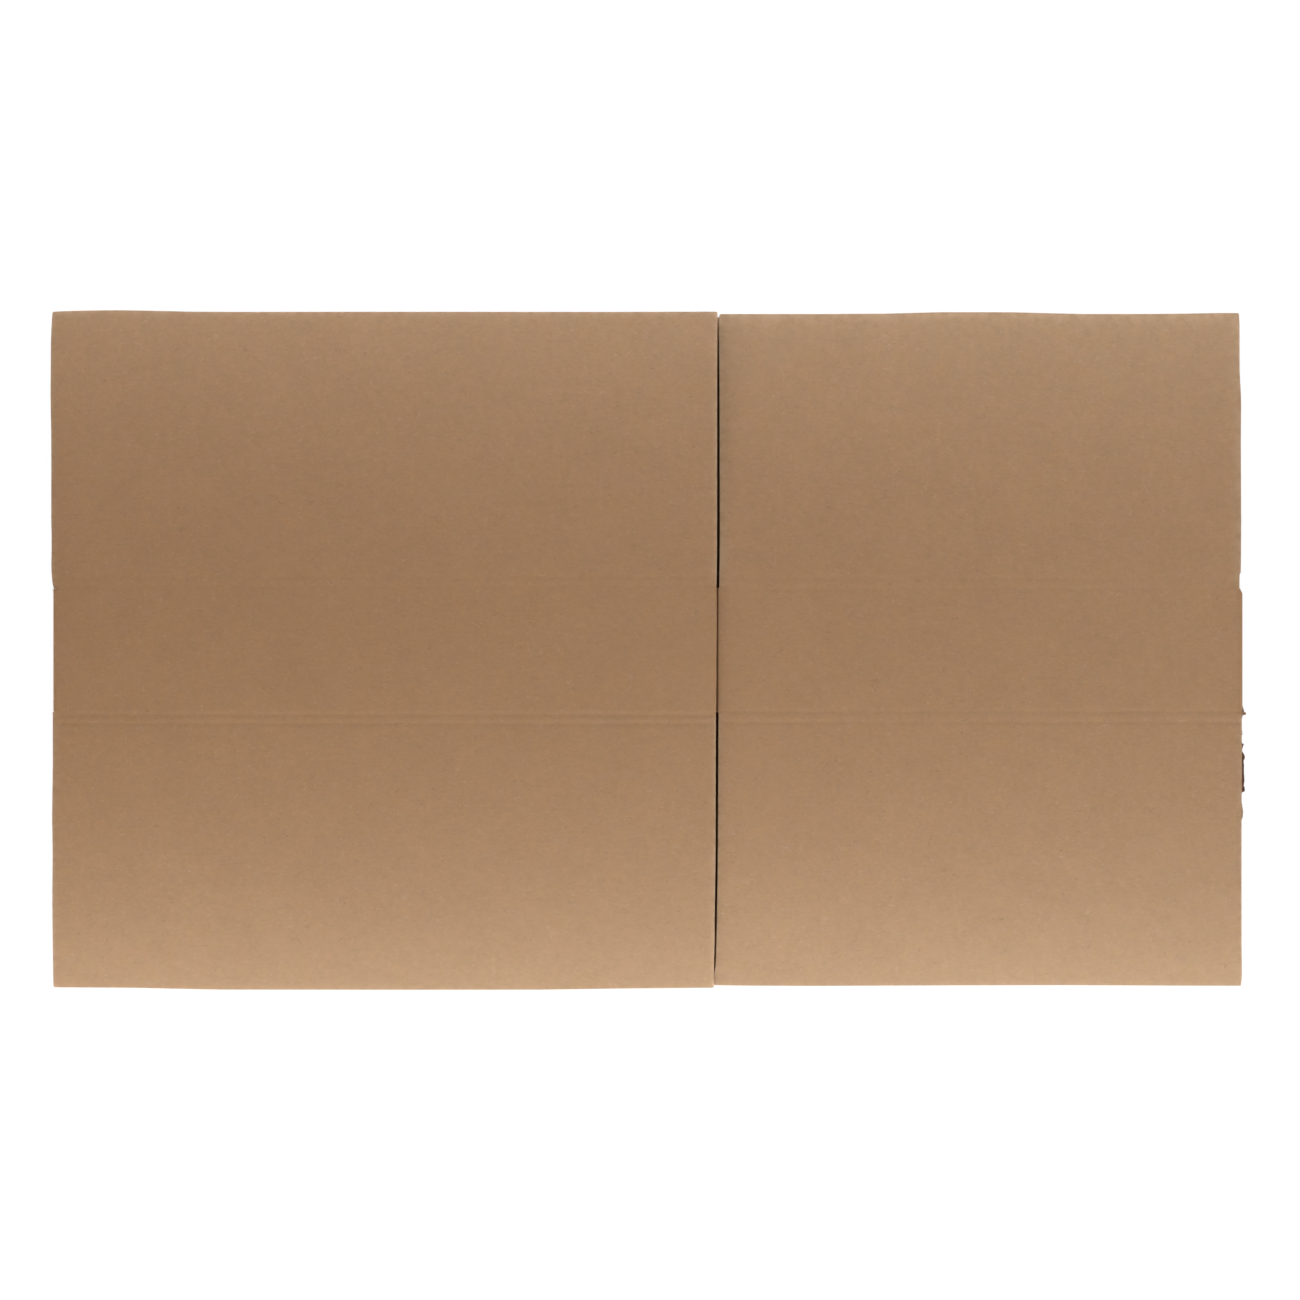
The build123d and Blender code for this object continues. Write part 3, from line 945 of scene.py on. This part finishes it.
class CARTON_OT_torn_waste(bpy.types.Operator):
    """Ragged waste of the slot, still hanging on the lower right flap"""
    bl_idname = "carton.torn_waste"
    bl_label = "Torn waste"

    def execute(self, context):
        sheet = Sheet(context)
        wear = sheet.wear
        draw = random.Random(wear.seed)
        rows = np.arange(TORN_EDGE[0][0] * MM, TORN_EDGE[-1][0] * MM, -TORN_STEP)
        inside = sheet.right + TORN_START
        root = sheet.right + TORN_ROOT
        points = []
        faces = []
        skins = []
        for underside, top, edge, skin in TORN_PLIES:
            low, high = underside * MM, top * MM
            start = len(points)
            for y, out in zip(rows, line(edge[::-1], rows)):
                tip = sheet.right + out + draw.uniform(-1, 1) * wear.torn_ragged
                middle = (low + high) / 2 - wear.torn_droop * (tip - root)
                thin = (high - low) / 2 * draw.uniform(0.4, 0.7)
                section = (
                    (inside, low), (root, low), (tip, middle - thin), (tip, middle + thin),
                    (root, high), (inside, high))
                points.extend((x, y, max(z, TORN_FLOOR)) for x, z in section)
                skins.extend([skin] * len(section))
            for row in range(len(rows) - 1):
                first = start + row * 6
                for corner in range(6):
                    after = (corner + 1) % 6
                    faces.append((first + corner, first + after, first + 6 + after, first + 6 + corner))
            faces.append(tuple(range(start + 5, start - 1, -1)))
            faces.append(tuple(range(len(points) - 6, len(points))))
        mesh = bpy.data.meshes.new("torn_waste")
        mesh.from_pydata(points, [], faces)
        mesh.attributes.new("skin", "FLOAT", "POINT").data.foreach_set("value", skins)
        add_piece(context, mesh, torn_finish(context.scene.carton_colours))
        return {"FINISHED"}


def hair(points, faces, root, lean, length, thickness, draw):
    """Adds one tapered three-sided fibre that starts at a point and wanders off."""
    start = len(points)
    spans = HAIR_JOINTS - 1
    heading = Vector(lean).normalized()
    spot = Vector(root)
    for joint in range(HAIR_JOINTS):
        side = heading.orthogonal().normalized()
        other = heading.cross(side)
        radius = thickness / 2 * (1 - HAIR_TAPER * joint / spans)
        for turn in range(3):
            angle = 2 * pi * turn / 3
            points.append(tuple(spot + side * cos(angle) * radius + other * sin(angle) * radius))
        curl = Vector([draw.uniform(-HAIR_CURL, HAIR_CURL) for axis in range(3)])
        heading = (heading + curl).normalized()
        spot = spot + heading * length / spans
    for joint in range(spans):
        for turn in range(3):
            after = (turn + 1) % 3
            ring = start + joint * 3
            faces.append((ring + turn, ring + after, ring + 3 + after, ring + 3 + turn))
    last = start + spans * 3
    faces.append((start + 2, start + 1, start))
    faces.append((last, last + 1, last + 2))


class CARTON_OT_loose_fibres(bpy.types.Operator):
    """Fibres that stand out of the cut edges, most of them at the slot ends and the torn waste"""
    bl_idname = "carton.loose_fibres"
    bl_label = "Loose fibres"

    def execute(self, context):
        sheet = Sheet(context)
        wear = context.scene.carton_wear
        draw = random.Random(wear.seed + 5)
        points = []
        faces = []
        for side, out, y, z, count, longest in TUFTS:
            fold = sheet.right + sheet.radius if side > 0 else sheet.left - sheet.radius
            for index in range(count):
                root = (
                    fold + side * out * MM, (y + draw.uniform(-1, 1)) * MM,
                    (z + draw.uniform(-0.6, 0.6)) * MM)
                lean = (side, draw.uniform(-1.2, 1.2), draw.uniform(-0.5, 0.5))
                length = draw.uniform(0.5, 1) * longest * MM
                hair(points, faces, root, lean, length, wear.tuft_width, draw)
        for index in range(wear.hairs):
            panel = draw.choice([sheet.long_upper, sheet.short_upper])
            side = draw.choice((-1, 1))
            along = draw.uniform(0.01, 0.99) * panel.length
            row = np.array([side * sheet.half_blank])
            root = panel.points(row, np.array([along]), draw.uniform(0.02, 0.98))[0, 0]
            lean = (draw.uniform(-1, 1), side, draw.uniform(-0.4, 0.6))
            length = draw.uniform(0.3, 1.1) * MM
            hair(points, faces, root, lean, length, wear.hair_width, draw)
        mesh = bpy.data.meshes.new("loose_fibres")
        mesh.from_pydata(points, [], faces)
        add_piece(context, mesh, hair_finish(context.scene.carton_colours))
        return {"FINISHED"}


def lamp(context, name, watts, spot, target, width, height):
    """A soft level lamp that points at a spot and that the camera doesn't see."""
    data = bpy.data.lights.new(name, "AREA")
    data.shape = "RECTANGLE"
    data.size = width
    data.size_y = height
    data.energy = watts
    made = bpy.data.objects.new(name, data)
    context.scene.collection.objects.link(made)
    made.location = spot
    made.rotation_euler = (Vector(target) - Vector(spot)).to_track_quat("-Z", "Y").to_euler()
    made.visible_camera = False


WHITE = (1, 1, 1, 1)
FLOOR_CARD = (0.8, 0.8, 0.8, 1)
FLOOR_SIZE = 30
FLOOR_OVAL = (0.6, 1, 1)
FLOOR_FADE = (0.33, 0.46)


class CARTON_OT_stage(bpy.types.Operator):
    """Pale floor, soft lamps and a camera that looks straight down"""
    bl_idname = "carton.stage"
    bl_label = "Stage"

    def execute(self, context):
        studio = context.scene.carton_studio
        bpy.ops.mesh.primitive_plane_add(size=FLOOR_SIZE, location=(0, 0, -studio.floor_drop))
        floor = context.object
        floor.name = "floor"

        # The floor is a pale card that glows for the camera, a little less in an oval round the carton
        finish = Finish(bpy.data.materials.new("white_floor"))
        oval = finish.node("ShaderNodeVectorMath", {"operation": "MULTIPLY"}, {
            0: finish.node("ShaderNodeTexCoord", output=3), 1: FLOOR_OVAL})
        away = finish.node("ShaderNodeVectorMath", {"operation": "LENGTH"}, {0: oval}, 1)
        card = finish.node("ShaderNodeBsdfDiffuse", None, {"Color": FLOOR_CARD})
        glow = finish.node("ShaderNodeEmission", None, {"Color": WHITE, "Strength": studio.glow})
        glowing = 1 - studio.glow_shade + studio.glow_shade * away.step(*FLOOR_FADE)
        factor = finish.node("ShaderNodeLightPath") * glowing
        surface = finish.node("ShaderNodeMixShader", None, {0: factor, 1: card, 2: glow})
        finish.node("ShaderNodeOutputMaterial", None, {"Surface": surface})
        floor.data.materials.append(finish.owner)

        air = Finish(bpy.data.worlds.new("white_air"))
        shown = air.node("ShaderNodeLightPath")
        sky = air.node("ShaderNodeBackground", None, {
            "Color": WHITE, "Strength": shown + studio.air * (1 - shown)})
        air.node("ShaderNodeOutputWorld", None, {"Surface": sky})
        context.scene.world = air.owner

        # Each lamp's name, place, target, width and height
        lamps = (
            ("near_low", (0, -0.6, 0.13), (0, 0, 0.02), 1.6, 0.14),
            ("far_low", (0, 0.6, 0.13), (0, 0, 0.02), 1.6, 0.14),
            ("far_mid", (0.15, 0.6, 0.13), (0.15, 0, 0.02), 0.6, 0.14),
            ("near_high", (0, -0.55, 0.8), (0, 0, 0), 1.2, 0.3),
            ("far_high", (0.1, 0.55, 0.8), (0.1, 0, 0), 1.2, 0.3),
            ("right_lamp", (1.15, 0, 0.45), (0, 0, 0), 1.0, 0.4),
            ("left_lamp", (-1.15, 0, 0.22), (0, 0, 0), 1.0, 0.3),
        )
        for name, spot, target, width, height in lamps:
            lamp(context, name, getattr(studio, name), spot, target, width, height)

        data = bpy.data.cameras.new("overhead_camera")
        data.lens = 50
        data.sensor_width = 36
        camera = bpy.data.objects.new("overhead_camera", data)
        context.scene.collection.objects.link(camera)
        camera.location = (studio.camera_east, studio.camera_north, studio.camera_height)
        context.scene.camera = camera
        context.scene.view_settings.view_transform = "Standard"
        return {"FINISHED"}


class VIEW3D_PT_carton(bpy.types.Panel):
    """Sizes, wear, colours and pieces of the carton"""
    bl_label = "Flattened carton"
    bl_space_type = "VIEW_3D"
    bl_region_type = "UI"
    bl_category = "Carton"

    def draw(self, context):
        scene = context.scene
        groups = (scene.carton_sizes, scene.carton_wear, scene.carton_colours, scene.carton_studio)
        for group in groups:
            box = self.layout.box()
            for name in group.__annotations__:
                box.prop(group, name)
        for operator in OPERATORS:
            self.layout.operator(operator.bl_idname)


GROUPS = {
    "carton_sizes": CartonSizes,
    "carton_wear": CartonWear,
    "carton_colours": CartonColours,
    "carton_studio": StudioSettings,
}
OPERATORS = (
    CARTON_OT_outer_liner, CARTON_OT_inner_liner, CARTON_OT_fluting, CARTON_OT_torn_waste,
    CARTON_OT_loose_fibres, CARTON_OT_stage,
)


def register():
    for name, group in GROUPS.items():
        bpy.utils.register_class(group)
        setattr(bpy.types.Scene, name, PointerProperty(type=group))
    for operator in OPERATORS:
        bpy.utils.register_class(operator)
    bpy.utils.register_class(VIEW3D_PT_carton)


def unregister():
    bpy.utils.unregister_class(VIEW3D_PT_carton)
    for operator in reversed(OPERATORS):
        bpy.utils.unregister_class(operator)
    for name, group in GROUPS.items():
        delattr(bpy.types.Scene, name)
        bpy.utils.unregister_class(group)


def main():
    """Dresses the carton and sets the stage."""
    register()
    bpy.ops.carton.outer_liner()
    bpy.ops.carton.inner_liner()
    bpy.ops.carton.fluting()
    bpy.ops.carton.torn_waste()
    bpy.ops.carton.loose_fibres()
    bpy.ops.carton.stage()


if __name__ == "__main__":
    main()
